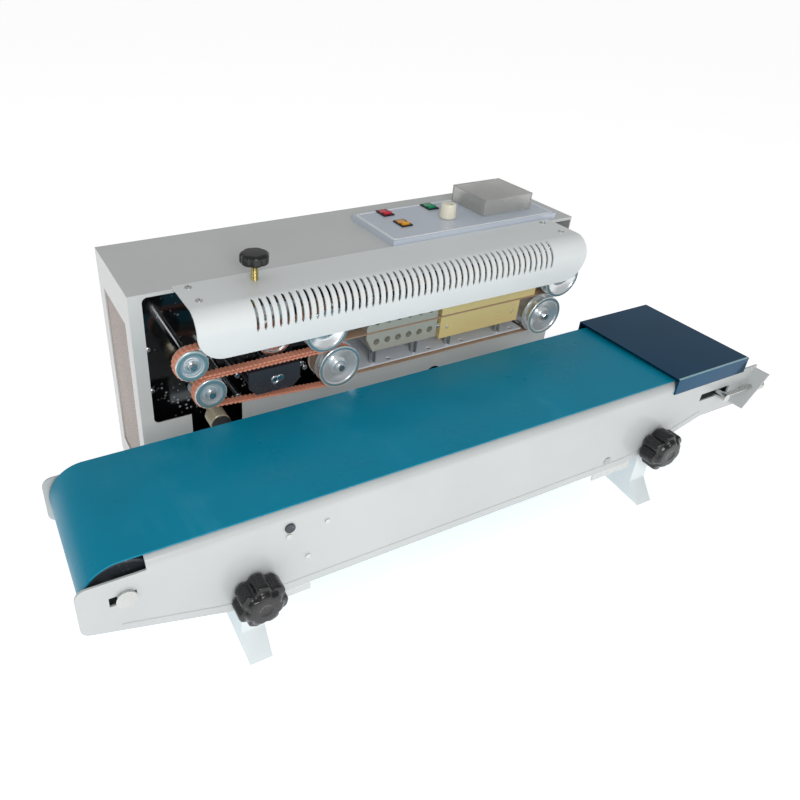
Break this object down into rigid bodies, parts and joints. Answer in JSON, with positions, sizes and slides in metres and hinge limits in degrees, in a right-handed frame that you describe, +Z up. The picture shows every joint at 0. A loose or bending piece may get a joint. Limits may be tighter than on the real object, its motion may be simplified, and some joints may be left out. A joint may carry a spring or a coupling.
{
  "type": "continuous band sealer",
  "caption": "Continuous band sealer: sealing head with heated and cooled blocks, band wheels, slotted hood and control panel, beside a height-adjustable belt conveyor.",
  "frame": {"origin": "middle of the overall box at table level", "axes": "+X along the conveyor towards its cover plate, +Y from the conveyor's front back to the case's rear cover, +Z up"},
  "size_m": [0.828, 0.3788, 0.3215],
  "materials": {
    "case_paint": "smooth satin light grey enamel",
    "hood_paint": "smooth satin white enamel",
    "conveyor_paint": "satin grey-white enamel",
    "stand_paint": "satin grey-white enamel",
    "panel_paint": "satin pale blue-grey enamel",
    "vent_sheet": "punched sheet",
    "black_plate": "gloss black enamel",
    "galvanised": "galvanised sheet",
    "black_rubber": "matt",
    "shelf_paint": "satin pale grey enamel",
    "zinc": "bright zinc plate",
    "polished_steel": "turned and polished",
    "gold_block": "satin gold-coloured brass",
    "cooling_aluminium": "milled",
    "bracket_grey": "dark grey phosphate",
    "belt_orange": "moulded toothed belt",
    "band_tan": "coated glass cloth band",
    "motor_grey": "painted casting",
    "chain_steel": "oiled steel",
    "black_plastic": "moulded",
    "board_green": "printed board",
    "knob_black": "moulded phenolic",
    "red_lens": "moulded translucent",
    "amber_lens": "moulded translucent",
    "green_lens": "moulded translucent",
    "knob_cream": "moulded",
    "clear_plastic": "clear moulded plastic",
    "belt_green": "glossy PVC belt",
    "cover_steel": "mirror polished steel",
    "roller_grey": "turned plastic",
    "press_rubber": "silicone rubber",
    "roller_steel": "turned steel"
  },
  "bodies": {
    "base": {"case_shell": "case_paint", "rear_cover": "case_paint", "base_plate": "galvanised", "rubber_feet": "black_rubber", "vent_panels": "vent_sheet", "mounting_plate": "black_plate", "hood": "hood_paint", "case_screws": "zinc", "control_panel": "panel_paint", "stands": "stand_paint", "lower_shelf": "shelf_paint", "upper_shelf": "shelf_paint", "block_posts": "polished_steel", "lower_heater": "gold_block", "upper_heater": "gold_block", "lower_cooler": "cooling_aluminium", "upper_cooler": "cooling_aluminium", "head_pins": "polished_steel", "heater_cartridges": "polished_steel", "press_bracket": "bracket_grey", "carriage_guide": "bracket_grey", "axles": "polished_steel", "bearings": "polished_steel", "guide_belts": "belt_orange", "seal_bands": "band_tan", "gear_motor": "motor_grey", "drive_chain": "chain_steel", "fan_housing": "black_plastic", "control_board": "board_green", "power_inlet": "black_plastic", "switch_frames": "black_plastic", "temperature_controller": "black_plastic"},
    "lower_drive": {"lower_drive_wheel": "polished_steel"},
    "upper_drive": {"upper_drive_wheel": "polished_steel"},
    "lower_idler": {"lower_idle_wheel": "polished_steel"},
    "upper_idler": {"upper_idle_wheel": "polished_steel"},
    "lower_pulley": {"lower_pulley": "polished_steel"},
    "upper_pulley": {"upper_pulley": "polished_steel"},
    "carriage": {"emboss_carriage": "zinc"},
    "emboss_wheel": {"emboss_wheel": "polished_steel"},
    "press_wheel": {"press_wheel": "press_rubber"},
    "pressure_knob": {"pressure_knob": "knob_black"},
    "input_shaft": {"input_shaft": "roller_steel"},
    "fan": {"fan_blades": "black_plastic"},
    "red_rocker": {"red_rocker": "red_lens"},
    "amber_rocker": {"amber_rocker": "amber_lens"},
    "green_rocker": {"green_rocker": "green_lens"},
    "speed_knob": {"speed_knob": "knob_cream"},
    "temperature_dial": {"temperature_dial": "zinc"},
    "clear_cover": {"clear_cover": "clear_plastic"},
    "conveyor": {"conveyor_frame": "conveyor_paint", "conveyor_belt": "belt_green", "cover_plate": "cover_steel", "conveyor_fittings": "zinc"},
    "drive_roller": {"drive_roller": "roller_grey"},
    "left_roller": {"left_roller": "roller_grey"},
    "right_roller": {"right_roller": "roller_grey"},
    "return_roller": {"return_roller": "roller_steel"},
    "left_star_knob": {"left_star_knob": "knob_black"},
    "right_star_knob": {"right_star_knob": "knob_black"}
  },
  "joints": [
    {"name": "drive_spin", "type": "hinge", "parent": "base", "child": "lower_drive", "pos_m": [-0.083, 0.0229, 0.179], "axis": [0, 1, 0], "continuous": true},
    {"name": "upper_drive_spin", "type": "hinge", "parent": "base", "child": "upper_drive", "pos_m": [-0.101, 0.0229, 0.229], "axis": [0, 1, 0], "continuous": true},
    {"name": "lower_idler_spin", "type": "hinge", "parent": "base", "child": "lower_idler", "pos_m": [0.216, 0.0229, 0.179], "axis": [0, 1, 0], "continuous": true},
    {"name": "upper_idler_spin", "type": "hinge", "parent": "base", "child": "upper_idler", "pos_m": [0.234, 0.0229, 0.229], "axis": [0, 1, 0], "continuous": true},
    {"name": "lower_pulley_spin", "type": "hinge", "parent": "base", "child": "lower_pulley", "pos_m": [-0.235, 0.0149, 0.185], "axis": [0, 1, 0], "continuous": true},
    {"name": "upper_pulley_spin", "type": "hinge", "parent": "base", "child": "upper_pulley", "pos_m": [-0.253, 0.0149, 0.223], "axis": [0, 1, 0], "continuous": true},
    {"name": "press_wheel_spin", "type": "hinge", "parent": "base", "child": "press_wheel", "pos_m": [-0.156, 0.0279, 0.18405], "axis": [0, 1, 0], "continuous": true},
    {"name": "pressure_knob_turn", "type": "hinge", "parent": "carriage", "child": "pressure_knob", "pos_m": [-0.174, 0.0349, 0.3], "axis": [0, 0, 1], "range_deg": [0, 1080]},
    {"name": "emboss_lift", "type": "slide", "parent": "base", "child": "carriage", "axis": [0, 0, 1], "range_m": [0, 0.00375]},
    {"name": "emboss_wheel_spin", "type": "hinge", "parent": "carriage", "child": "emboss_wheel", "pos_m": [-0.156, 0.0279, 0.22395], "axis": [0, 1, 0], "continuous": true},
    {"name": "input_shaft_spin", "type": "hinge", "parent": "base", "child": "input_shaft", "pos_m": [-0.226, 0.0379, 0.144], "axis": [0, 1, 0], "continuous": true},
    {"name": "fan_spin", "type": "hinge", "parent": "base", "child": "fan", "pos_m": [0.058, 0.1129, 0.214], "axis": [0, 1, 0], "continuous": true},
    {"name": "conveyor_height", "type": "slide", "parent": "base", "child": "conveyor", "axis": [0, 0, 1], "range_m": [-0.01, 0.01]},
    {"name": "drive_roller_spin", "type": "hinge", "parent": "conveyor", "child": "drive_roller", "pos_m": [-0.226, -0.0871, 0.144], "axis": [0, 1, 0], "continuous": true},
    {"name": "left_roller_spin", "type": "hinge", "parent": "conveyor", "child": "left_roller", "pos_m": [-0.374, -0.0871, 0.128], "axis": [0, 1, 0], "continuous": true},
    {"name": "right_roller_spin", "type": "hinge", "parent": "conveyor", "child": "right_roller", "pos_m": [0.348, -0.0871, 0.128], "axis": [0, 1, 0], "continuous": true},
    {"name": "return_roller_spin", "type": "hinge", "parent": "conveyor", "child": "return_roller", "pos_m": [0.182, -0.0871, 0.0787], "axis": [0, 1, 0], "continuous": true},
    {"name": "left_star_knob_turn", "type": "hinge", "parent": "conveyor", "child": "left_star_knob", "pos_m": [-0.262, -0.1721, 0.082], "axis": [0, -1, 0], "range_deg": [0, 720]},
    {"name": "right_star_knob_turn", "type": "hinge", "parent": "conveyor", "child": "right_star_knob", "pos_m": [0.253, -0.1721, 0.082], "axis": [0, -1, 0], "range_deg": [0, 720]},
    {"name": "red_rocker_tilt", "type": "hinge", "parent": "base", "child": "red_rocker", "pos_m": [0.045, 0.1369, 0.2955], "axis": [1, 0, 0], "range_deg": [0, 20]},
    {"name": "amber_rocker_tilt", "type": "hinge", "parent": "base", "child": "amber_rocker", "pos_m": [0.046, 0.0979, 0.2955], "axis": [1, 0, 0], "range_deg": [0, 20]},
    {"name": "green_rocker_tilt", "type": "hinge", "parent": "base", "child": "green_rocker", "pos_m": [0.11, 0.1349, 0.2955], "axis": [1, 0, 0], "range_deg": [0, 20]},
    {"name": "speed_knob_turn", "type": "hinge", "parent": "base", "child": "speed_knob", "pos_m": [0.109, 0.0949, 0.305], "axis": [0, 0, -1], "range_deg": [0, 270]},
    {"name": "temperature_dial_turn", "type": "hinge", "parent": "base", "child": "temperature_dial", "pos_m": [0.189, 0.1119, 0.311], "axis": [0, 0, -1], "range_deg": [0, 300]},
    {"name": "clear_cover_hinge", "type": "hinge", "parent": "base", "child": "clear_cover", "pos_m": [0.189, 0.1475, 0.2992], "axis": [-1, 0, 0], "range_deg": [0, 95]}
  ],
  "couplings": [
    {"joint": "upper_drive_spin", "follows": "drive_spin", "ratio": -1},
    {"joint": "lower_idler_spin", "follows": "drive_spin", "ratio": 1},
    {"joint": "upper_idler_spin", "follows": "drive_spin", "ratio": -1},
    {"joint": "lower_pulley_spin", "follows": "drive_spin", "ratio": 1.3158},
    {"joint": "upper_pulley_spin", "follows": "drive_spin", "ratio": -1.3158},
    {"joint": "press_wheel_spin", "follows": "drive_spin", "ratio": 1.2626},
    {"joint": "pressure_knob_turn", "follows": "emboss_lift", "rad_per_m": 5026.5},
    {"joint": "emboss_wheel_spin", "follows": "drive_spin", "ratio": -1.2626},
    {"joint": "input_shaft_spin", "follows": "drive_spin", "ratio": 1.3889},
    {"joint": "drive_roller_spin", "follows": "drive_spin", "ratio": 1.3889},
    {"joint": "left_roller_spin", "follows": "drive_spin", "ratio": 0.69444},
    {"joint": "right_roller_spin", "follows": "drive_spin", "ratio": 0.69444},
    {"joint": "return_roller_spin", "follows": "drive_spin", "ratio": -1.9231}
  ]
}
